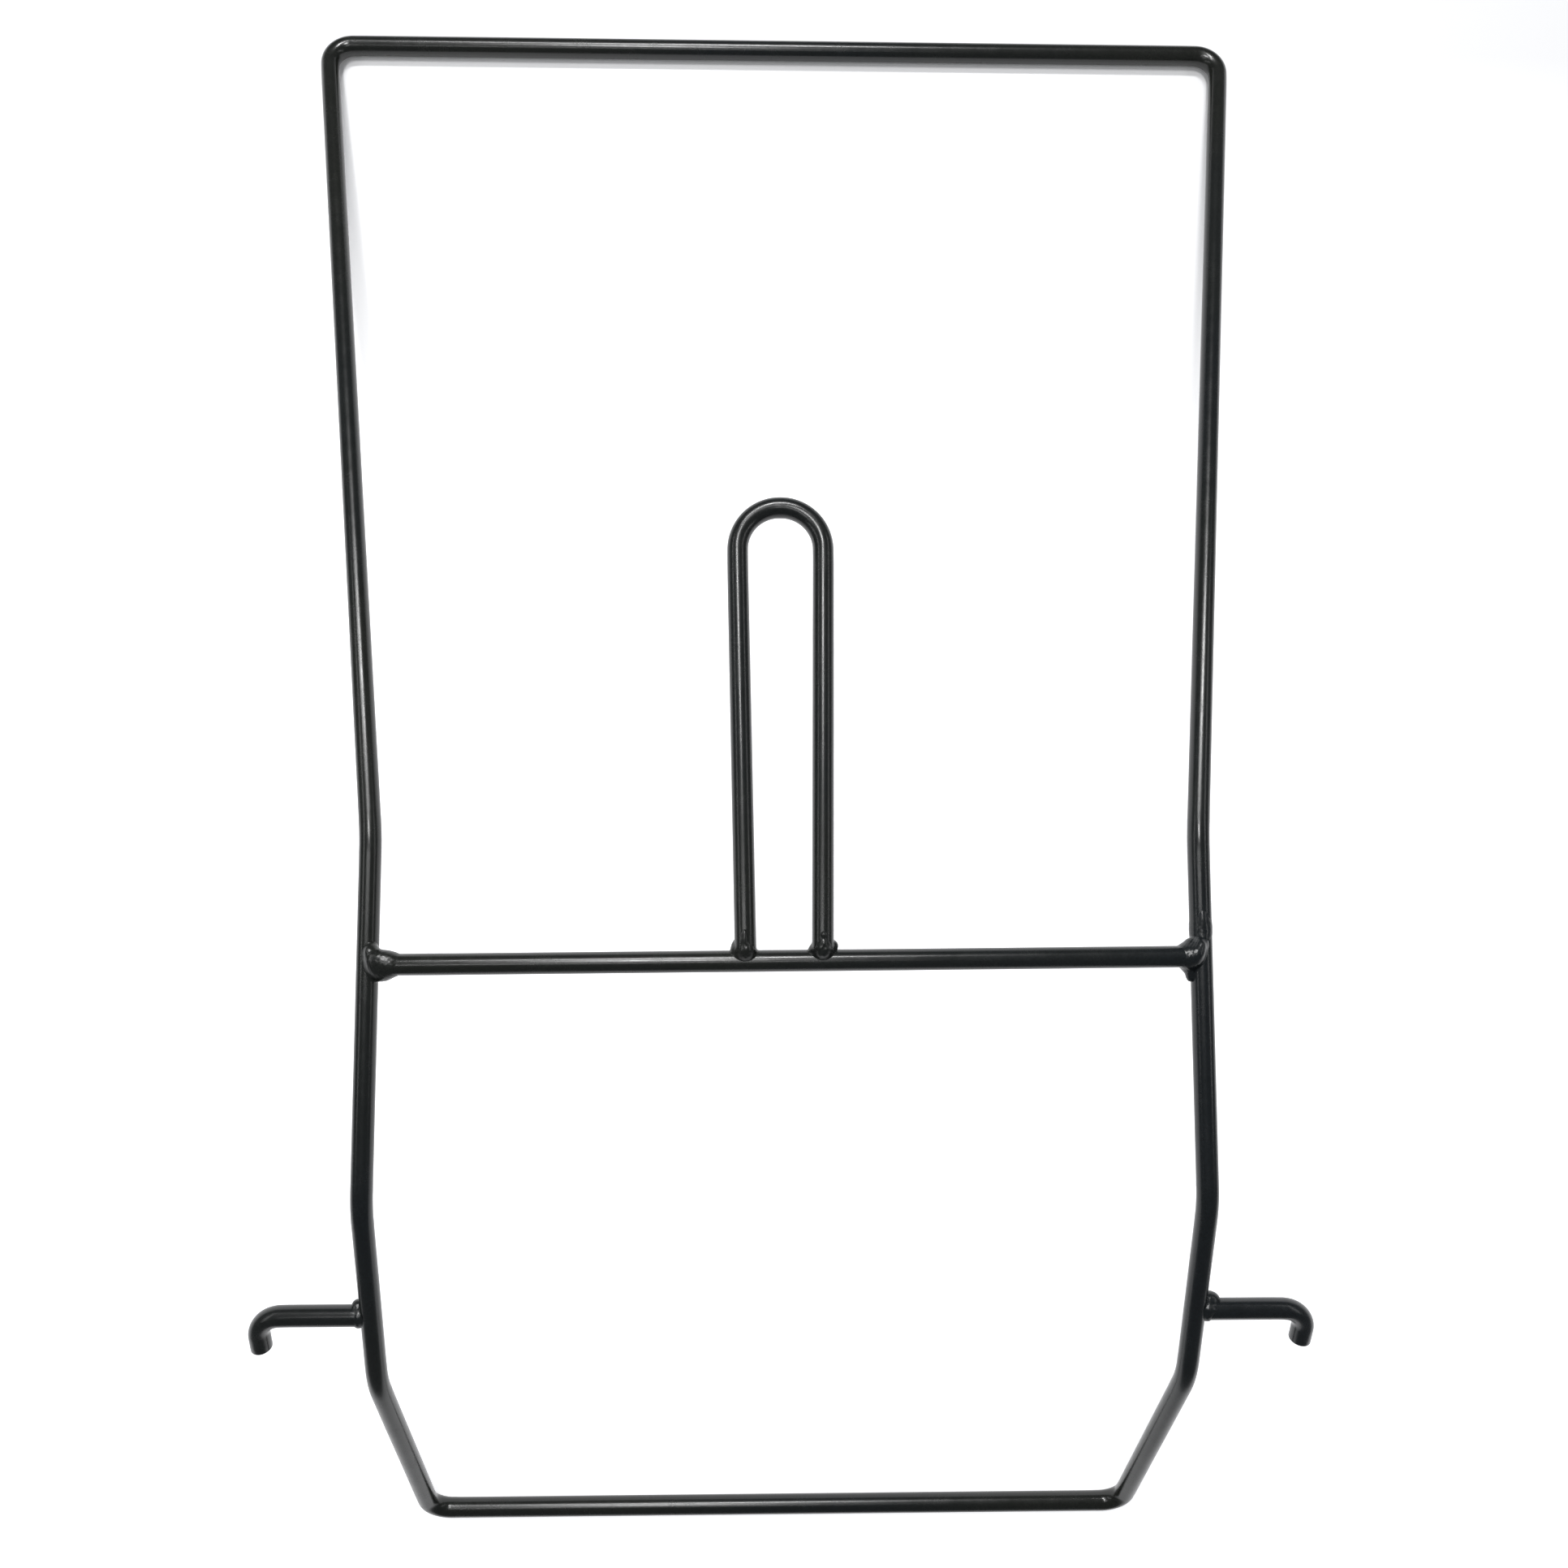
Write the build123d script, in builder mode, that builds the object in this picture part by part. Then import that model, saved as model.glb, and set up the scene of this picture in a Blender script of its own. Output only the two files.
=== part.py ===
"""Photo album stand: a bent round-rod frame with a crossbar, a centre loop and two side hooks.

Axes: +X to the right, +Y from the front bar towards the top bar, +Z up, millimetres.
The stand rests on the undersides of its front bar and its top bar at Z = 0.
"""
import os
from math import cos, radians, sin

from build123d import *

# ---- stock -------------------------------------------------------------------------------------
rod_d = 6.0              # round mild-steel rod, one size throughout
rod_r = rod_d / 2

# ---- main frame, rod centre lines --------------------------------------------------------------
frame_length = 490.0     # front bar to top bar
knee_from_front = 222.0  # bend between the long back slope and the level part
shin_from_front = 120.5  # bend between the level part and the first front slope
toe_from_front = 65.0    # bend between the two front slopes
level_rise = 70.0        # level part above the two ground bars
toe_rise = 51.5          # toe bend above the two ground bars
top_half_span = 152.2    # half distance between the side rods at each bend
knee_half_span = 114.5
shin_half_span = 116.3
toe_half_span = 117.0
front_half_span = 114.3
corner_bend_r = 7.5      # four corners of the frame
rail_bend_r = 30.0       # knee, shin and toe bends
closing_from_crossbar = 2.8 * rod_r  # where the two ends of the bent rod meet, right side
closing_gap = 1.2        # root opening left for the closing weld

# ---- crossbar ----------------------------------------------------------------------------------
crossbar_from_front = 187.7
crossbar_lift = 2.0      # crossbar centre above the side rods
crossbar_skew = 0.46     # degrees, right end towards the top bar
butt_gap = 0.3           # root opening between a rod end and the rod it is welded to

# ---- centre loop -------------------------------------------------------------------------------
loop_tip_from_front = 314.0
loop_lift = 2.0          # loop centre above the crossbar centre, at the feet
loop_droop = 3.0         # degrees, the closed end falls towards the top bar
loop_foot_x = -1.0       # middle of the two feet
loop_tip_x = -1.8        # middle of the closed end
loop_foot_pitch = 21.1   # leg spacing at the feet, centre to centre
loop_tip_pitch = 24.4    # leg spacing at the closed end
loop_bend_r = 0.975 * loop_tip_pitch / 2

# ---- side hooks --------------------------------------------------------------------------------
hook_fraction = 0.604    # place on the first front slope, from the shin bend to the toe bend
hook_reach = 32.4        # side rod centre to the centre of the turned-down tip
hook_bend_r = 7.0
hook_tip_length = 12.0   # arm centre line to the end of the tip
hook_tip_slope = 25.0    # degrees below level, towards the front bar

# ---- weld beads --------------------------------------------------------------------------------
bead_toe = 0.3           # bead thickness where it runs out on the rod

ground_z = rod_r
front_y = -frame_length / 2


def frame_point(side, half_span, from_front, rise):
    """A point on a rod centre line, on the right (+1) or left (-1) side of the frame."""
    return Vector(side * half_span, front_y + from_front, ground_z + rise)


def side_points(side):
    """Bend points of one side, from the front bar to the top bar."""
    return [
        frame_point(side, front_half_span, 0, 0),
        frame_point(side, toe_half_span, toe_from_front, toe_rise),
        frame_point(side, shin_half_span, shin_from_front, level_rise),
        frame_point(side, knee_half_span, knee_from_front, level_rise),
        frame_point(side, top_half_span, frame_length, 0),
    ]


def level_point(side, from_front):
    """The point of the level part at a given distance from the front bar."""
    front, toe, shin, knee, top = side_points(side)
    share = (from_front - shin_from_front) / (knee_from_front - shin_from_front)
    return shin + (knee - shin) * share


def round_bar(path):
    """Sweeps the rod section along a path of the current part."""
    with BuildSketch(Plane(origin=path @ 0, z_dir=path % 0)) as section:
        Circle(rod_r)
    sweep(section.sketch, path=path)


def bead(start, direction, outline):
    """Revolves a bead about a rod axis; outline gives (along the axis, radius) pairs."""
    side = direction.cross(Vector(0, 0, 1)).normalized()
    first, last = outline[0], outline[-1]
    with BuildSketch(Plane(origin=start, x_dir=direction, z_dir=side)) as section:
        with BuildLine():
            Polyline((last[0], last[1]), (last[0], 0), (first[0], 0), (first[0], first[1]))
            Spline(*outline)
        make_face()
    revolve(section.sketch, axis=Axis(start, direction))


# ---- main frame --------------------------------------------------------------------------------
right = side_points(1)
left = side_points(-1)
closing_from_front = crossbar_from_front + closing_from_crossbar
upper_end = level_point(1, closing_from_front + closing_gap / 2)
lower_end = level_point(1, closing_from_front - closing_gap / 2)

with BuildPart() as main_frame:
    with BuildLine() as frame_line:
        FilletPolyline(
            upper_end, right[3], right[4], left[4], left[3], left[2], left[1],
            left[0], right[0], right[1], right[2], lower_end,
            radius=[rail_bend_r, corner_bend_r, corner_bend_r, rail_bend_r, rail_bend_r,
                    rail_bend_r, corner_bend_r, corner_bend_r, rail_bend_r, rail_bend_r],
        )
    round_bar(frame_line.wire())
main_frame.part.label = "main_frame"

# ---- crossbar ----------------------------------------------------------------------------------
cross_middle = Vector(0, front_y + crossbar_from_front, ground_z + level_rise + crossbar_lift)
cross_dir = Vector(cos(radians(crossbar_skew)), sin(radians(crossbar_skew)), 0)
cross_half = level_point(1, crossbar_from_front).X / cross_dir.X
cross_end = cross_half - rod_r - butt_gap

with BuildPart() as crossbar:
    with BuildLine() as cross_line:
        Line(cross_middle - cross_dir * cross_end, cross_middle + cross_dir * cross_end)
    round_bar(cross_line.wire())
crossbar.part.label = "crossbar"

# ---- centre loop -------------------------------------------------------------------------------
foot_from_front = crossbar_from_front + rod_r + butt_gap
loop_run = (loop_tip_from_front - foot_from_front) / cos(radians(loop_droop))
loop_origin = (0, front_y + foot_from_front, cross_middle.Z + loop_lift)
loop_normal = (0, sin(radians(loop_droop)), cos(radians(loop_droop)))
loop_plane = Plane(origin=loop_origin, x_dir=(1, 0, 0), z_dir=loop_normal)
loop_feet = [(loop_foot_x + side * loop_foot_pitch / 2,
              (loop_foot_x + side * loop_foot_pitch / 2) * sin(radians(crossbar_skew)))
             for side in (-1, 1)]
loop_corners = [(loop_tip_x + side * loop_tip_pitch / 2, loop_run) for side in (-1, 1)]

with BuildPart() as centre_loop:
    with BuildLine(loop_plane) as loop_line:
        FilletPolyline(loop_feet[0], *loop_corners, loop_feet[1], radius=loop_bend_r)
    round_bar(loop_line.wire())
centre_loop.part.label = "centre_loop"

# ---- side hooks --------------------------------------------------------------------------------
hook_root = right[2] + (right[1] - right[2]) * hook_fraction
hook_corner = hook_root + Vector(hook_reach, 0, 0)
tip_dir = Vector(0, -cos(radians(hook_tip_slope)), -sin(radians(hook_tip_slope)))

with BuildPart() as hook_arm_right:
    with BuildLine() as hook_line:
        FilletPolyline(
            hook_root + Vector(rod_r + butt_gap, 0, 0), hook_corner,
            hook_corner + tip_dir * hook_tip_length, radius=hook_bend_r,
        )
    round_bar(hook_line.wire())
hook_arm_right.part.label = "hook_arm_right"

with BuildPart() as hook_arm_left:
    add(hook_arm_right.part)
    mirror(about=Plane.YZ, mode=Mode.REPLACE)
hook_arm_left.part.label = "hook_arm_left"

# ---- weld beads --------------------------------------------------------------------------------
toe_r = rod_r + bead_toe

with BuildPart() as crossbar_weld_left:
    bead(cross_middle - cross_dir * cross_half, cross_dir,
         [(-0.4 * rod_r, 0.4 * rod_r), (0, rod_r), (rod_r, 1.65 * rod_r),
          (1.9 * rod_r, 1.4 * rod_r), (3.5 * rod_r, toe_r)])
    add(main_frame.part, mode=Mode.SUBTRACT)
    add(crossbar.part, mode=Mode.SUBTRACT)
crossbar_weld_left.part.label = "crossbar_weld_left"

with BuildPart() as crossbar_weld_right:
    bead(cross_middle + cross_dir * cross_half, cross_dir * -1,
         [(-0.3 * rod_r, 0.5 * rod_r), (0.1 * rod_r, 1.3 * rod_r), (rod_r, 1.9 * rod_r),
          (1.5 * rod_r, 1.4 * rod_r), (2.4 * rod_r, toe_r)])
    add(main_frame.part, mode=Mode.SUBTRACT)
    add(crossbar.part, mode=Mode.SUBTRACT)
crossbar_weld_right.part.label = "crossbar_weld_right"

with BuildPart() as frame_closing_weld:
    bead(level_point(1, closing_from_front), (right[3] - right[2]).normalized(),
         [(-1.2 * rod_r, toe_r), (-0.5 * rod_r, 1.2 * rod_r), (0.5 * rod_r, 1.2 * rod_r),
          (1.2 * rod_r, toe_r)])
    add(main_frame.part, mode=Mode.SUBTRACT)
    add(crossbar_weld_right.part, mode=Mode.SUBTRACT)
frame_closing_weld.part.label = "frame_closing_weld"

leg_dirs = [(loop_line.wire() % 0), (loop_line.wire() % 1) * -1]
leg_feet = [loop_line.wire() @ 0, loop_line.wire() @ 1]
loop_bead = [(-1.2 * rod_r, 0.5 * rod_r), (-0.6 * rod_r, 1.2 * rod_r), (0.3 * rod_r, 1.4 * rod_r),
             (1.1 * rod_r, 1.2 * rod_r), (1.9 * rod_r, toe_r)]

with BuildPart() as loop_weld_left:
    bead(leg_feet[0], leg_dirs[0], loop_bead)
    add(crossbar.part, mode=Mode.SUBTRACT)
    add(centre_loop.part, mode=Mode.SUBTRACT)
loop_weld_left.part.label = "loop_weld_left"

with BuildPart() as loop_weld_right:
    bead(leg_feet[1], leg_dirs[1], loop_bead)
    add(crossbar.part, mode=Mode.SUBTRACT)
    add(centre_loop.part, mode=Mode.SUBTRACT)
loop_weld_right.part.label = "loop_weld_right"

with BuildPart() as hook_weld_right:
    bead(hook_root, Vector(1, 0, 0),
         [(0.2 * rod_r, 1.0 * rod_r), (0.6 * rod_r, 1.5 * rod_r), (1.2 * rod_r, 1.6 * rod_r),
          (1.7 * rod_r, 1.4 * rod_r), (2.4 * rod_r, toe_r)])
    add(main_frame.part, mode=Mode.SUBTRACT)
    add(hook_arm_right.part, mode=Mode.SUBTRACT)
hook_weld_right.part.label = "hook_weld_right"

with BuildPart() as hook_weld_left:
    add(hook_weld_right.part)
    mirror(about=Plane.YZ, mode=Mode.REPLACE)
hook_weld_left.part.label = "hook_weld_left"

# ---- files -------------------------------------------------------------------------------------
os.makedirs("parts", exist_ok=True)
for node in (main_frame, crossbar, centre_loop, hook_arm_left, hook_arm_right,
             crossbar_weld_left, crossbar_weld_right, frame_closing_weld,
             loop_weld_left, loop_weld_right, hook_weld_left, hook_weld_right):
    export_step(node.part, f"parts/{node.part.label}.step")
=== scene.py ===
import math

import bpy
import numpy as np
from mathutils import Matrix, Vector


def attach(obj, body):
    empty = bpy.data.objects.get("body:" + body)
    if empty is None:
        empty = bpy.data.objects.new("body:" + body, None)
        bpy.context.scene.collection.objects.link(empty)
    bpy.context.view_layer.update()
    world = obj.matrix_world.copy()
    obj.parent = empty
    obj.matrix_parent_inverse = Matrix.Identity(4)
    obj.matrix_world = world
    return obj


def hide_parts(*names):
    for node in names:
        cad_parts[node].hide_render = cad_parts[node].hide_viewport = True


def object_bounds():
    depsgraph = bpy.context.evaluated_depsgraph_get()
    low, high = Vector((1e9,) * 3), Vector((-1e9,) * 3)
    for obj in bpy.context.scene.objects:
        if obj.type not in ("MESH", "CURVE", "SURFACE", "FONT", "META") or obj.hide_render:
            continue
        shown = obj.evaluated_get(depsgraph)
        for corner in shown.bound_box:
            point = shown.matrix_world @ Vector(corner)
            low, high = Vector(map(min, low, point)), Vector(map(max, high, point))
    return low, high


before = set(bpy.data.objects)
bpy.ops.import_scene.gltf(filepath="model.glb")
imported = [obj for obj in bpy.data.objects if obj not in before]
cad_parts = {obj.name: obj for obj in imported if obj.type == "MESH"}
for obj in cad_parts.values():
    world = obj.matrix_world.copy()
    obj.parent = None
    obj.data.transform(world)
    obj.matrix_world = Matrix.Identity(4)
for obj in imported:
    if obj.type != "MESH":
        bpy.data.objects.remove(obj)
cadLow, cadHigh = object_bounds()
print("frame loaded, nodes:", len(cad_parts))

mm = 0.001

# One size of round rod is used throughout, and the coat follows it.
rod = {
    "radius": 3.0 * mm,
    "around": 56,             # faces round a section
    "spacing": 2.0 * mm,      # between sections on a straight run
    "arcStep": 3.0,           # degrees between sections on a bend
    "leastSteps": 2,          # on the shortest straight run
    "leastArcSteps": 3,       # on the slightest bend
    "sideHint": (0.13, 0.21, 0.97),   # sets where round the rod its faces start
    "swell": 0.0015,          # slow unevenness of the drawn rod, as a share of its radius
    "swellPitch": 37.0 * mm,
    # the unevenness is a sum of waves: height, waves per pitch, turns round the rod, lead
    "waves": ((0.5, 1.0, 1, 0.0), (1.0, 0.37, -1, 1.3), (1.0, 0.11, 0, 0.0)),
    "press": 0.2,             # flattening outside a bend, times rod radius / bend radius
    "fuller": 0.4,            # share of the flattening that swells the inside of the bend
    "wider": 0.2,             # and its two flanks
    "pressFade": 1.5 * mm,    # the flattening comes in over about this length
    "ridge": 0.012,           # mark of the former at each end of a bend, as a share of the radius
    "ridgeLength": 1.1 * mm,
    "ridgeWrap": 0.6,         # how far the mark reaches round from the inside of the bend
    "edge": 0.55 * mm,        # rounding of a cut end under the coat
    "edgeRings": 7,
    "faceRings": (0.7, 0.4, 0.15),    # rings on the flat of a cut end, as shares of its radius
}


# A vector divided by its own length.
def unit(vector):
    return vector / np.linalg.norm(vector, axis=-1, keepdims=True)


# Turns a vector v by angle t about a unit axle: v*cos(t) + (axle x v)*sin(t) + axle*(axle.v)*(1-cos(t)).
def turnAbout(axle, vector, angle):
    kept, swung = axle * (axle @ vector), np.cross(axle, vector)
    return vector * np.cos(angle) + swung * np.sin(angle) + kept * (1 - np.cos(angle))


# Joins a grid of rings into one closed skin: quads between neighbours round each ring, and a fan to the
# middle of the first and the last ring.
def skinFromRings(name, rings):
    count, around = rings.shape[:2]
    verts = np.concatenate([rings.reshape(-1, 3), rings[[0, -1]].mean(axis=1)])
    here = np.arange(around)
    beside = (here + 1) % around
    row = np.arange(count - 1)[:, None] * around
    quads = np.stack([row + here, row + beside, row + around + beside, row + around + here], axis=-1)
    firstPole, lastPole = count * around, count * around + 1
    tail = (count - 1) * around
    startFan = np.stack([np.full(around, firstPole), beside, here], axis=-1)
    endFan = np.stack([np.full(around, lastPole), tail + here, tail + beside], axis=-1)
    faces = quads.reshape(-1, 4).tolist() + startFan.tolist() + endFan.tolist()
    mesh = bpy.data.meshes.new(name)
    mesh.from_pydata(verts.tolist(), [], faces)
    mesh.shade_smooth()
    mesh.update()
    piece = bpy.data.objects.new(name, mesh)
    bpy.context.scene.collection.objects.link(piece)
    return piece


# A bent rod's centre line, as straight runs joined by tangent arcs. At a corner that turns by a with bend
# radius r, the arc starts r*tan(a/2) before the corner, and a point at angle t on it is
# start + r*sin(t)*ahead + r*(1-cos(t))*inward. The section turns with each arc and never twists.
def bentLine(corners, bendRadii):
    corners = np.array(corners, float)
    ahead = unit(np.diff(corners, axis=0))
    across = unit(np.cross(ahead[0], rod["sideHint"]))
    places, aheads, acrosses, arcs = [], [], [], []
    here, run = corners[0], 0.0

    def addStraight(end, along, side):
        nonlocal here, run
        length = np.linalg.norm(end - here)
        steps = max(rod["leastSteps"], int(length / rod["spacing"]))
        share = np.linspace(0, 1, steps, endpoint=False)[:, None]
        places.append(here + share * (end - here))
        aheads.append(np.repeat(along[None], steps, axis=0))
        acrosses.append(np.repeat(side[None], steps, axis=0))
        here, run = end, run + length

    for corner, radius, along, after in zip(corners[1:-1], bendRadii, ahead[:-1], ahead[1:]):
        turn = math.acos(np.clip(along @ after, -1, 1))
        inward = unit(after - along * (along @ after))
        axle = np.cross(along, inward)
        addStraight(corner - along * radius * math.tan(turn / 2), along, across)
        steps = max(rod["leastArcSteps"], int(math.degrees(turn) / rod["arcStep"]))
        angle = np.linspace(0, turn, steps, endpoint=False)[:, None]
        places.append(here + radius * np.sin(angle) * along + radius * (1 - np.cos(angle)) * inward)
        aheads.append(turnAbout(axle, along, angle))
        acrosses.append(turnAbout(axle, across, angle))
        across = turnAbout(axle, across, turn)
        arcs.append({"start": run, "end": run + radius * turn, "turn": turn, "radius": radius,
                     "axle": axle, "inward": inward})
        here, run = corner + after * radius * math.tan(turn / 2), run + radius * turn
    addStraight(corners[-1], ahead[-1], across)
    places.append(corners[-1:])
    aheads.append(ahead[-1:])
    acrosses.append(across[None])
    place, along, side = (np.concatenate(rows) for rows in (places, aheads, acrosses))
    travelled = np.concatenate([[0], np.cumsum(np.linalg.norm(np.diff(place, axis=0), axis=1))])
    return {"place": place, "along": along, "side": side, "over": np.cross(along, side),
            "run": travelled, "arcs": arcs}


# How far a bend changes the section at each point of the skin, as a share of the radius. With f the cosine
# of the angle from the bend's inside, the outside is pressed in by p*f^2, the inside swells by fuller*p*f^2
# and the flanks by wider*p*(1-f^2), and each end of the bend keeps a bell-shaped ridge from the former.
def bendChange(arc, run, spoke, ridge):
    turned = np.clip((run - arc["start"]) / (arc["end"] - arc["start"]), 0, 1) * arc["turn"]
    facing = np.einsum("rak,rk->ra", spoke, turnAbout(arc["axle"], arc["inward"], turned))
    begun, ended = (1 / (1 + np.exp((arc[end] - run) / rod["pressFade"])) for end in ("start", "end"))
    pressed = rod["press"] * rod["radius"] / arc["radius"] * (begun - ended)
    change = pressed * facing ** 2 * np.where(facing < 0, -1, rod["fuller"])
    change += rod["wider"] * pressed * (1 - facing ** 2)
    for mark in (arc["start"], arc["end"]):
        bell = np.exp(-((run - mark) / rod["ridgeLength"]) ** 2)
        change += ridge * bell * np.clip(facing + rod["ridgeWrap"], 0, 1)
    return change


# A rod's skin carried along its centre line: point = place + radius*size*(cos(p)*side + sin(p)*over). The
# size falls below 1 by slow sine waves that run along and round the rod, and the bends change it further.
def rodSkin(name, line, ridge=rod["ridge"]):
    angle = np.linspace(0, 2 * math.pi, rod["around"], endpoint=False)
    spoke = (np.cos(angle)[None, :, None] * line["side"][:, None]
             + np.sin(angle)[None, :, None] * line["over"][:, None])
    run = line["run"][:, None]
    along = 2 * math.pi * run / rod["swellPitch"]
    size = 1 - rod["swell"] * sum(height * (1 + np.sin(pitches * along + turns * angle + lead))
                                  for height, pitches, turns, lead in rod["waves"])
    size = size + sum(bendChange(arc, run, spoke, ridge) for arc in line["arcs"])
    rings = line["place"][:, None] + rod["radius"] * size[..., None] * spoke
    firstEnd = cutEnd(rings[0], line["place"][0], -line["along"][0])
    lastEnd = cutEnd(rings[-1], line["place"][-1], line["along"][-1])
    return skinFromRings(name, np.concatenate([firstEnd[::-1], rings[1:-1], lastEnd]))


# A sheared end: rings whose radius falls from r to r-e along a quarter circle of radius e, then in to the
# middle of a flat face.
def cutEnd(ring, middle, outward):
    edge, flat = rod["edge"], rod["radius"] - rod["edge"]
    spoke = (ring - middle) / rod["radius"]
    quarter = np.linspace(0, math.pi / 2, rod["edgeRings"])[:, None, None]
    rim = middle + (flat + edge * np.cos(quarter)) * spoke + outward * edge * (np.sin(quarter) - 1)
    face = middle + np.array(rod["faceRings"])[:, None, None] * flat * spoke
    return np.concatenate([rim, face])


weld = {
    "around": 200,
    "tilts": 130,
    "halvings": 36,           # of the span in which a ray's length is looked for
    "beyond": 12.0 * mm,      # the span ends this far past the bead's reach
    "skin": 0.32 * mm,        # the bead runs out this far under a rod's surface
    "runOut": 0.55,           # how fast a rod is counted thinner beyond the bead's reach
    "roughPitch": 1.7 * mm,
    "rough": 0.012 * mm,
    "sways": ((0.8, 0.7), (0.9, 0.6)),   # of the two crossed waves: how far and how often
    "slant": (0.6, 1.9, 1.3),            # the third wave's height, and its rise along Z and X
}


# Roughness of frozen weld metal: two sine waves that sway sideways, multiplied, plus a slanting third.
def meltRoughness(points, seed):
    x, y, z = np.moveaxis(2 * math.pi / weld["roughPitch"] * points, -1, 0)
    (farX, oftenX), (farY, oftenY) = weld["sways"]
    height, alongZ, alongX = weld["slant"]
    crossed = np.sin(x + farX * np.sin(oftenX * y + seed)) * np.sin(y + farY * np.sin(oftenY * z + 2 * seed))
    return crossed + height * np.sin(alongZ * z + alongX * x + seed)


# How far points are outside a bead. Each rod gives its distance to a line less its radius, each lump of weld
# metal gives (length of the offset measured in its own radii - 1)*its least radius, and the soft least of
# them all, -k*log(sum(exp(-d/k))), melts them together.
def beadField(points, bead):
    centre, melt = bead["centre"], bead["melt"]
    away = np.linalg.norm(points - centre, axis=-1)
    thinner = weld["skin"] + weld["runOut"] * np.clip(away - bead["reach"], 0, None)
    total = np.zeros(points.shape[:-1])
    for start, end in bead["rods"]:
        length = np.linalg.norm(end - start)
        along = (end - start) / length
        share = np.clip((points - start) @ along, 0, length)
        gap = np.linalg.norm(points - start - share[..., None] * along, axis=-1)
        total += np.exp(-(gap - rod["radius"] + thinner) / melt)
    for place, radii in bead["lumps"]:
        scaled = np.linalg.norm((points - centre - place) / radii, axis=-1)
        total += np.exp(-(scaled - 1) * min(radii) / melt)
    return -melt * np.log(total) + weld["rough"] * meltRoughness(points, bead["seed"])


# Three axes for a bead: the pole, a level axis across it, and the one square to both.
def beadAxes(pole):
    pole = unit(np.array(pole, float))
    side = unit(np.cross(pole, [0, 0, 1.0]))
    return np.stack([pole, side, np.cross(pole, side)])


# A bead's skin: from its centre a ray leaves at every turn round the pole and every tilt from it, and the
# ray's length is found by halving the span between a point inside and a point outside until the field there
# is nought.
def beadSkin(name, bead):
    pole, side, over = beadAxes(bead["pole"])
    turn = np.linspace(0, 2 * math.pi, weld["around"], endpoint=False)[None, :, None]
    tilt = np.linspace(math.pi, 0, weld["tilts"] + 2)[1:-1, None, None]
    rays = np.cos(tilt) * pole + np.sin(tilt) * (np.cos(turn) * side + np.sin(turn) * over)
    near = np.zeros(rays.shape[:2])
    far = np.full(rays.shape[:2], bead["reach"] + weld["beyond"])
    for halving in range(weld["halvings"]):
        middle = (near + far) / 2
        outside = beadField(bead["centre"] + rays * middle[..., None], bead) > 0
        far = np.where(outside, middle, far)
        near = np.where(outside, near, middle)
    return skinFromRings(name, bead["centre"] + rays * near[..., None])


# Scales are in waves per metre. Edges are the values between which a noise fades from one end to the other.
coat = {
    "green": (0.0080, 0.0088, 0.0070, 1),
    "blue": (0.0050, 0.0068, 0.0080, 1),
    "drift": {"scale": 7.0, "detail": 2, "roughness": 0.5, "edges": (0.38, 0.62)},      # from green to blue
    "grain": {"scale": 1400.0, "detail": 3, "roughness": 0.7, "edges": (0.35, 0.65)},
    "grainTints": ((0.7, 0.7, 0.7, 1), (1.35, 1.35, 1.35, 1)),
    "patches": {"scale": 160.0, "detail": 4, "roughness": 0.6, "edges": (0.3, 0.7)},    # glossy and duller
    "roughness": (0.21, 0.29),
    "peel": {"scale": 480.0, "detail": 2, "roughness": 0.5},
    "peelDepth": 0.010 * mm,
    "grit": {"scale": 1400.0, "detail": 2, "roughness": 0.5},
    "gritDepth": 0.002 * mm,
    "beadPeel": 0.8,          # the peel is shallower on a bead
    "beadDuller": 0.03,       # and the coat rougher
}
mixSockets = {"share": 0, "first": 6, "second": 7, "result": 2}   # the colour sockets of a Mix node


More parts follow.
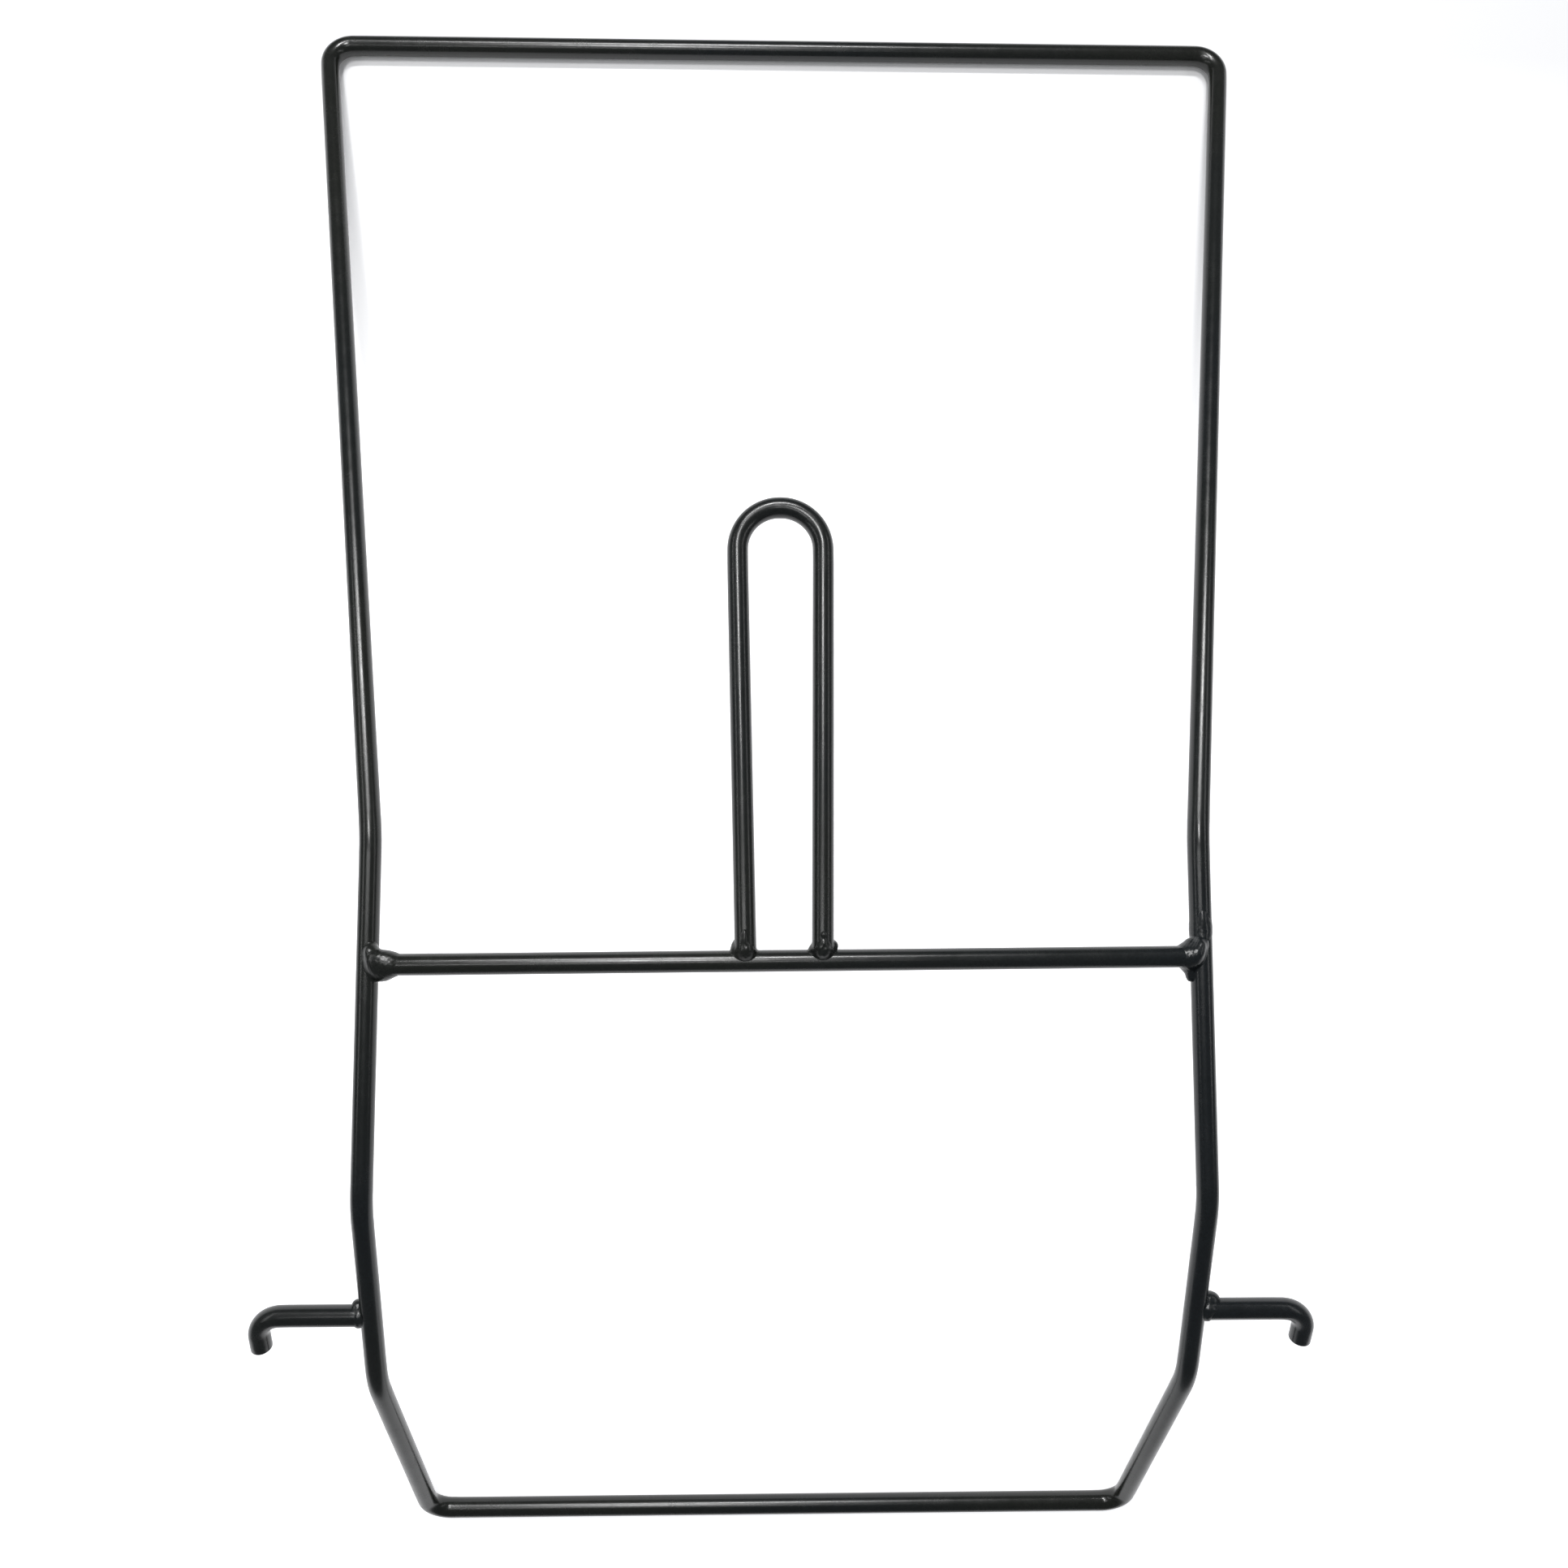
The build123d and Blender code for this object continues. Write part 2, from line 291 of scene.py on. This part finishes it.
# Charcoal powder coat: two close tints drift into each other, fine grain lightens and darkens them, and two
# scales of noise raise the orange peel.
def powderCoat(name, peel=1.0, duller=0.0):
    material = bpy.data.materials.new(name)
    material.use_nodes = True
    tree = material.node_tree
    shader = tree.nodes["Principled BSDF"]
    place = tree.nodes.new("ShaderNodeTexCoord").outputs["Object"]

    def noise(pattern):
        node = tree.nodes.new("ShaderNodeTexNoise")
        for key in ("scale", "detail", "roughness"):
            node.inputs[key.capitalize()].default_value = pattern[key]
        tree.links.new(place, node.inputs["Vector"])
        return node.outputs["Fac"]

    def faded(pattern, low, high):
        node = tree.nodes.new("ShaderNodeMapRange")
        for key, value in zip(("From Min", "From Max", "To Min", "To Max"), (*pattern["edges"], low, high)):
            node.inputs[key].default_value = value
        tree.links.new(noise(pattern), node.inputs["Value"])
        return node.outputs["Result"]

    def mixed(kind, share, first, second):
        node = tree.nodes.new("ShaderNodeMix")
        node.data_type = "RGBA"
        node.blend_type = kind
        for socket, value in (("share", share), ("first", first), ("second", second)):
            if isinstance(value, (float, tuple)):
                node.inputs[mixSockets[socket]].default_value = value
            else:
                tree.links.new(value, node.inputs[mixSockets[socket]])
        return node.outputs[mixSockets["result"]]

    tint = mixed("MIX", faded(coat["drift"], 0, 1), coat["green"], coat["blue"])
    grain = mixed("MIX", faded(coat["grain"], 0, 1), *coat["grainTints"])
    tree.links.new(mixed("MULTIPLY", 1.0, tint, grain), shader.inputs["Base Color"])
    low, high = coat["roughness"]
    tree.links.new(faded(coat["patches"], low + duller, high + duller), shader.inputs["Roughness"])
    lifted = None
    for pattern, depth in ((coat["peel"], coat["peelDepth"] * peel), (coat["grit"], coat["gritDepth"])):
        bump = tree.nodes.new("ShaderNodeBump")
        bump.inputs["Strength"].default_value = 1.0
        bump.inputs["Distance"].default_value = depth
        tree.links.new(noise(pattern), bump.inputs["Height"])
        if lifted is not None:
            tree.links.new(lifted, bump.inputs["Normal"])
        lifted = bump.outputs["Normal"]
    tree.links.new(lifted, shader.inputs["Normal"])
    return material


rodCoat = powderCoat("rodCoat")
beadCoat = powderCoat("beadCoat", coat["beadPeel"], coat["beadDuller"])


# Every piece rides the one body, stands for one part of the frame and wears the powder coat.
def finish(piece, material, node):
    piece.data.materials.append(material)
    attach(piece, "root")
    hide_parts(node)
    print(piece.name, "triangles:", sum(len(face.vertices) - 2 for face in piece.data.polygons))


# The main frame, one bent rod whose ends meet on the right side.
frontY = cadLow.y + rod["radius"]
topY = cadHigh.y - rod["radius"]
groundZ = cadLow.z + rod["radius"]

frameRod = {
    "kneeFromFront": 222.0 * mm,    # bend between the long back slope and the level part
    "shinFromFront": 120.5 * mm,    # bend between the level part and the first front slope
    "toeFromFront": 65.0 * mm,      # bend between the two front slopes
    "levelRise": 70.0 * mm,
    "toeRise": 51.5 * mm,
    "topHalf": 152.2 * mm,          # half distances between the side rods at each bend
    "kneeHalf": 114.5 * mm,
    "shinHalf": 116.3 * mm,
    "toeHalf": 117.0 * mm,
    "frontHalf": 114.3 * mm,
    "cornerBend": 7.5 * mm,
    "railBend": 30.0 * mm,
    "closingFromFront": 196.1 * mm,
    "closingGap": 1.2 * mm,
}


# The five corners of one side's centre line, from the front bar to the top bar.
def sidePoints(side):
    bends = (
        (frameRod["frontHalf"], 0, 0),
        (frameRod["toeHalf"], frameRod["toeFromFront"], frameRod["toeRise"]),
        (frameRod["shinHalf"], frameRod["shinFromFront"], frameRod["levelRise"]),
        (frameRod["kneeHalf"], frameRod["kneeFromFront"], frameRod["levelRise"]),
        (frameRod["topHalf"], topY - frontY, 0),
    )
    return [np.array((side * half, frontY + ahead, groundZ + rise)) for half, ahead, rise in bends]


# A point of the level part of a side rod, at a distance from the front bar.
def levelPoint(side, fromFront):
    shin, knee = sidePoints(side)[2:4]
    share = (fromFront - frameRod["shinFromFront"]) / (frameRod["kneeFromFront"] - frameRod["shinFromFront"])
    return shin + (knee - shin) * share


right, left = sidePoints(1), sidePoints(-1)
closing = frameRod["closingFromFront"]
halfGap = frameRod["closingGap"] / 2
cornerBend, railBend = frameRod["cornerBend"], frameRod["railBend"]
frameLine = bentLine(
    [levelPoint(1, closing + halfGap), right[3], right[4], left[4], left[3], left[2], left[1],
     left[0], right[0], right[1], right[2], levelPoint(1, closing - halfGap)],
    [railBend, cornerBend, cornerBend, railBend, railBend,
     railBend, cornerBend, cornerBend, railBend, railBend])
finish(rodSkin("frameRod", frameLine), rodCoat, "main_frame")

crossRod = {
    "fromFront": 187.7 * mm,
    "lift": 2.0 * mm,         # above the side rods
    "skew": 0.46,             # degrees
    "gap": 0.3 * mm,          # root opening at a rod end that is welded on
}
skew = math.radians(crossRod["skew"])
crossZ = groundZ + frameRod["levelRise"] + crossRod["lift"]
crossMiddle = np.array((0, frontY + crossRod["fromFront"], crossZ))
crossAlong = np.array((math.cos(skew), math.sin(skew), 0))
crossHalf = levelPoint(1, crossRod["fromFront"])[0] / crossAlong[0]
crossEnd = crossHalf - rod["radius"] - crossRod["gap"]
crossSpan = (crossMiddle - crossAlong * crossEnd, crossMiddle + crossAlong * crossEnd)
finish(rodSkin("crossRod", bentLine(crossSpan, [])), rodCoat, "crossbar")

loopRod = {
    "tipFromFront": 314.0 * mm,
    "lift": 2.0 * mm,         # above the crossbar
    "droop": 3.0,             # degrees
    "footMiddle": -1.0 * mm,
    "tipMiddle": -1.8 * mm,
    "footPitch": 21.1 * mm,
    "tipPitch": 24.4 * mm,
    "bend": 11.9 * mm,
    "ridge": 0.006,           # half of the usual mark
}
footFromFront = crossRod["fromFront"] + rod["radius"] + crossRod["gap"]
droop = math.radians(loopRod["droop"])
loopAhead = np.array((0, math.cos(droop), -math.sin(droop)))
loopOrigin = np.array((0, frontY + footFromFront, crossZ + loopRod["lift"]))
loopRun = (loopRod["tipFromFront"] - footFromFront) / math.cos(droop)


# A point of the loop's plane: x to the right of the middle, then ahead along the legs.
def loopPoint(x, ahead):
    return loopOrigin + np.array((x, 0, 0)) + loopAhead * ahead


footXs = [loopRod["footMiddle"] + side * loopRod["footPitch"] / 2 for side in (-1, 1)]
feet = [loopPoint(x, x * math.sin(skew)) for x in footXs]
tips = [loopPoint(loopRod["tipMiddle"] + side * loopRod["tipPitch"] / 2, loopRun) for side in (-1, 1)]
loopLine = bentLine([feet[0], tips[0], tips[1], feet[1]], [loopRod["bend"], loopRod["bend"]])
finish(rodSkin("loopRod", loopLine, loopRod["ridge"]), rodCoat, "centre_loop")

hookRod = {
    "place": 0.604,           # on the first front slope, from the shin bend to the toe bend
    "reach": 32.4 * mm,
    "bend": 7.0 * mm,
    "tip": 12.0 * mm,
    "slope": 25.0,            # degrees below level
}
slope = math.radians(hookRod["slope"])
tipAhead = np.array((0, -math.cos(slope), -math.sin(slope)))
hooks = {}
for side, word in ((-1, "left"), (1, "right")):
    toe, shin = sidePoints(side)[1:3]
    outward = np.array((side, 0, 0))
    root = shin + (toe - shin) * hookRod["place"]
    start = root + outward * (rod["radius"] + crossRod["gap"])
    corner = root + outward * hookRod["reach"]
    hookLine = bentLine([start, corner, corner + tipAhead * hookRod["tip"]], [hookRod["bend"]])
    finish(rodSkin("hookRod" + word.capitalize(), hookLine), rodCoat, "hook_arm_" + word)
    hooks[word] = {"root": root, "outward": outward, "rods": [(toe, shin), (start, corner)]}
print("rods made")


# Adds one weld bead. Its settings are in millimetres: reach, melt, and the lumps of weld metal, each as
# (right, towards the top bar, up) from the bead's centre, then its radii along the same axes.
def addBead(name, node, centre, pole, rods, settings):
    bead = {
        "centre": centre,
        "pole": pole,
        "rods": rods,
        "reach": settings["reach"] * mm,
        "melt": settings["melt"] * mm,
        "seed": settings["seed"],
        "lumps": [(np.array(place) * mm, np.array(radii) * mm) for place, radii in settings["lumps"]],
    }
    finish(beadSkin(name, bead), beadCoat, node)


crossBeads = {
    "left": {             # a long mound, with a ridge that falls from the side rod to the right
        "inset": 3.5 * mm,    # of the bead's centre from the side rod's axis
        "reach": 7.0,
        "melt": 0.6,
        "seed": 0.4,
        "lumps": [
            ((1.9, -0.1, -0.1), (4.0, 3.5, 3.1)),
            ((0.6, 1.7, 1.2), (3.2, 2.3, 2.2)),
            ((3.6, 0.7, 0.4), (2.1, 2.3, 2.4)),
            ((-1.4, 3.5, 0.0), (1.4, 1.8, 1.6)),
            ((-2.4, 4.0, 0.9), (0.6, 0.8, 0.9)),
            ((0.6, -3.0, -0.8), (2.4, 1.5, 1.8)),
        ],
    },
    "right": {            # shorter, with hollow flanks and a crooked ridge on top
        "inset": 2.6 * mm,
        "reach": 7.0,
        "melt": 0.6,
        "seed": 1.9,
        "lumps": [
            ((-2.2, -0.1, -0.3), (3.0, 3.05, 2.9)),
            ((-2.1, 2.1, -0.8), (1.6, 1.4, 1.6)),
            ((-0.9, 3.3, -1.0), (1.3, 1.5, 1.5)),
            ((-1.7, -2.9, -1.2), (1.5, 1.5, 1.4)),
            ((-1.0, -5.0, -1.6), (0.9, 1.9, 1.2)),
            ((1.0, 2.9, 1.0), (1.2, 1.9, 1.7)),
            ((-0.3, 1.2, 1.5), (1.7, 1.7, 1.9)),
            ((2.5, 3.6, -0.2), (0.6, 0.9, 1.0)),
        ],
    },
}
rails = {"left": (left[2], left[3]), "right": (right[2], right[3])}
for side, (word, settings) in zip((-1, 1), crossBeads.items()):
    centre = crossMiddle + side * crossAlong * (crossHalf - settings["inset"])
    addBead("crossBead" + word.capitalize(), "crossbar_weld_" + word, centre, crossAlong,
            [rails[word], crossSpan], settings)

# Where the bent rod closes: two smears of metal across the butt, with a crease between them.
closingBead = {
    "reach": 6.0,
    "melt": 0.4,
    "seed": 2.7,
    "lumps": [
        ((0.0, 0.0, 0.0), (2.95, 6.0, 2.95)),
        ((-0.3, 3.0, 1.2), (1.3, 2.6, 1.9)),
        ((-0.1, -2.4, 1.1), (1.3, 1.5, 1.8)),
    ],
}
addBead("closingBead", "frame_closing_weld", levelPoint(1, closing), right[3] - right[2], [rails["right"]],
        closingBead)

# At the loop's feet the metal is low, and small drops and ridges stand on top of it.
loopBeads = {
    "left": {
        "reach": 5.4,
        "melt": 0.42,
        "seed": 3.1,
        "lumps": [
            ((0.0, 0.8, -0.5), (2.7, 3.0, 2.8)),
            ((0.0, -1.1, -1.5), (3.3, 1.8, 1.7)),
            ((-2.4, 0.2, -1.2), (1.6, 2.4, 1.6)),
            ((-0.3, 3.0, 2.0), (0.7, 1.3, 1.1)),
            ((0.4, 0.4, 1.9), (1.1, 0.9, 1.1)),
            ((-0.3, 5.0, 1.9), (0.5, 0.8, 1.0)),
            ((-0.2, -1.6, 0.4), (1.3, 0.6, 0.7)),
        ],
    },
    "right": {
        "reach": 5.4,
        "melt": 0.42,
        "seed": 4.1,
        "lumps": [
            ((0.0, 0.8, -0.5), (2.7, 3.0, 2.8)),
            ((0.0, -1.1, -1.5), (3.3, 1.8, 1.7)),
            ((3.0, 0.9, -0.8), (1.2, 1.3, 1.2)),
            ((-2.5, -0.4, -1.2), (1.2, 1.5, 1.3)),
            ((0.1, 1.9, 2.0), (0.9, 0.7, 1.1)),
            ((0.9, 0.3, 1.8), (0.6, 0.7, 1.1)),
            ((-0.2, -1.0, 1.2), (1.0, 0.7, 1.1)),
            ((-0.9, 0.6, 1.8), (0.6, 0.7, 1.1)),
            ((0.0, 4.2, 2.0), (0.6, 0.8, 1.1)),
        ],
    },
}
for foot, tip, (word, settings) in zip(feet, tips, loopBeads.items()):
    addBead("loopBead" + word.capitalize(), "loop_weld_" + word, foot, tip - foot, [crossSpan, (foot, tip)],
            settings)

hookBeads = {
    "left": {
        "inset": 4.2 * mm,    # of the bead's centre from the side rod's axis
        "reach": 5.2,
        "melt": 0.35,
        "seed": 4.2,
        "lumps": [
            ((1.0, 0.0, 0.0), (1.7, 2.7, 2.8)),
            ((0.3, 2.8, 0.0), (1.5, 1.7, 1.8)),
            ((0.8, -2.5, 0.0), (0.7, 0.7, 1.3)),
        ],
    },
    "right": {            # the heavier of the two
        "inset": 4.2 * mm,
        "reach": 5.2,
        "melt": 0.35,
        "seed": 6.2,
        "lumps": [
            ((-1.0, 0.0, 0.0), (1.7, 2.7, 2.8)),
            ((0.0, 2.8, 0.1), (2.9, 2.3, 2.4)),
            ((-0.5, 0.9, 2.4), (1.5, 0.9, 0.8)),
            ((-0.9, -2.4, 0.0), (0.7, 0.7, 1.2)),
        ],
    },
}
for word, settings in hookBeads.items():
    hook = hooks[word]
    centre = hook["root"] + hook["outward"] * settings["inset"]
    addBead("hookBead" + word.capitalize(), "hook_weld_" + word, centre, hook["outward"], hook["rods"],
            settings)
print("beads made")

room = {
    "floor": (0.86, 0.86, 0.87, 1),
    "floorRoughness": 0.9,
    "floorShine": 0.1,
    "halfWidth": 3.0,
    "cells": 24,              # of the floor, each way
    "paintedGlow": (0.76, 0.10),     # painted light: the paper emits light that whitens it and hides cast shadows, strongest in front and less towards the top bar
    "paintedGlowFrom": 0.09,
    "sky": (0.90, 0.95, 1.0, 1),
    "skyStrength": 0.16,
}


# White paper with a painted glow, emission that stands in for light and washes out cast shadows, as a level
# grid of square cells.
def makeFloor():
    cells = room["cells"]
    across = np.linspace(-room["halfWidth"], room["halfWidth"], cells + 1)
    x, y = np.meshgrid(across, across)
    verts = np.stack([x, y, np.full_like(x, cadLow.z)], axis=-1).reshape(-1, 3)
    row = (np.arange(cells)[:, None] * (cells + 1) + np.arange(cells)).reshape(-1, 1)
    faces = row + np.array([0, 1, cells + 2, cells + 1])
    mesh = bpy.data.meshes.new("paperFloor")
    mesh.from_pydata(verts.tolist(), [], faces.tolist())
    mesh.materials.append(paper())
    floor = bpy.data.objects.new("paperFloor", mesh)
    bpy.context.scene.collection.objects.link(floor)


# The painted glow falls in a straight line with Y, from where it starts in front to the far side of the top
# bar.
def paper():
    material = bpy.data.materials.new("paper")
    material.use_nodes = True
    tree = material.node_tree
    shader = tree.nodes["Principled BSDF"]
    shader.inputs["Base Color"].default_value = room["floor"]
    shader.inputs["Roughness"].default_value = room["floorRoughness"]
    shader.inputs["Specular IOR Level"].default_value = room["floorShine"]
    shader.inputs["Emission Color"].default_value = room["floor"]
    axes = tree.nodes.new("ShaderNodeSeparateXYZ")
    paintedGlow = tree.nodes.new("ShaderNodeMapRange")
    tree.links.new(tree.nodes.new("ShaderNodeTexCoord").outputs["Object"], axes.inputs["Vector"])
    tree.links.new(axes.outputs["Y"], paintedGlow.inputs["Value"])
    span = (room["paintedGlowFrom"], cadHigh.y, *room["paintedGlow"])
    for key, value in zip(("From Min", "From Max", "To Min", "To Max"), span):
        paintedGlow.inputs[key].default_value = value
    # painted light: the graded emission strength makes the floor glow though it is no lamp
    tree.links.new(paintedGlow.outputs["Result"], shader.inputs["Emission Strength"])
    return material


makeFloor()
world = bpy.data.worlds.new("room")
world.use_nodes = True
world.node_tree.nodes["Background"].inputs["Color"].default_value = room["sky"]
world.node_tree.nodes["Background"].inputs["Strength"].default_value = room["skyStrength"]
bpy.context.scene.world = world

# Place, aim and size in metres; the first size lies level, across the aim.
lamps = {
    "key": {"place": (-0.10, 0.68, 0.86), "aim": (0, 0, 0.04), "size": (0.50, 0.09), "watts": 4.0},
    "keyCore": {"place": (0, 0.68, 0.85), "aim": (0, 0, 0.04), "size": (0.20, 0.05), "watts": 2.0},
    "overhead": {"place": (-0.10, 0.28, 0.87), "aim": (0, 0, 0.07), "size": (0.08, 0.22), "watts": 2.8},
    "overheadEnd": {"place": (-0.13, -0.05, 0.75), "aim": (0, -0.05, 0.07), "size": (0.06, 0.40),
                    "watts": 0.55},
    "leftStrip": {"place": (-0.50, 0.08, 0.40), "aim": (0, 0, 0.05), "size": (0.60, 0.05), "watts": 0.42},
    "rightStrip": {"place": (0.50, 0.08, 0.40), "aim": (0, 0, 0.05), "size": (0.60, 0.05), "watts": 0.34},
}
for name, lamp in lamps.items():
    data = bpy.data.lights.new(name, "AREA")
    data.shape = "RECTANGLE"
    data.size, data.size_y = lamp["size"]
    data.energy = lamp["watts"]
    light = bpy.data.objects.new(name, data)
    light.location = lamp["place"]
    light.rotation_euler = (Vector(lamp["aim"]) - Vector(lamp["place"])).to_track_quat("-Z", "Y").to_euler()
    light.visible_camera = False
    bpy.context.scene.collection.objects.link(light)
print("room made")

# A wide lens close above the stand, almost square to the floor.
view = {
    "place": (-15.5 * mm, -21.1 * mm, 396.2 * mm),
    "tilt": (1.444, -1.064, -0.004),   # degrees about X, Y and Z
    "lens": 26.83,
    "sensor": 36.0,
    "shift": (0.0199, 0.0097),
    "clip": 0.01,             # metres
}
camera = bpy.data.objects.new("camera", bpy.data.cameras.new("camera"))
camera.location = view["place"]
camera.rotation_euler = [math.radians(angle) for angle in view["tilt"]]
camera.data.lens = view["lens"]
camera.data.sensor_width = view["sensor"]
camera.data.shift_x, camera.data.shift_y = view["shift"]
camera.data.clip_start = view["clip"]
bpy.context.scene.collection.objects.link(camera)
bpy.context.scene.camera = camera
bpy.context.scene.view_settings.view_transform = "Standard"
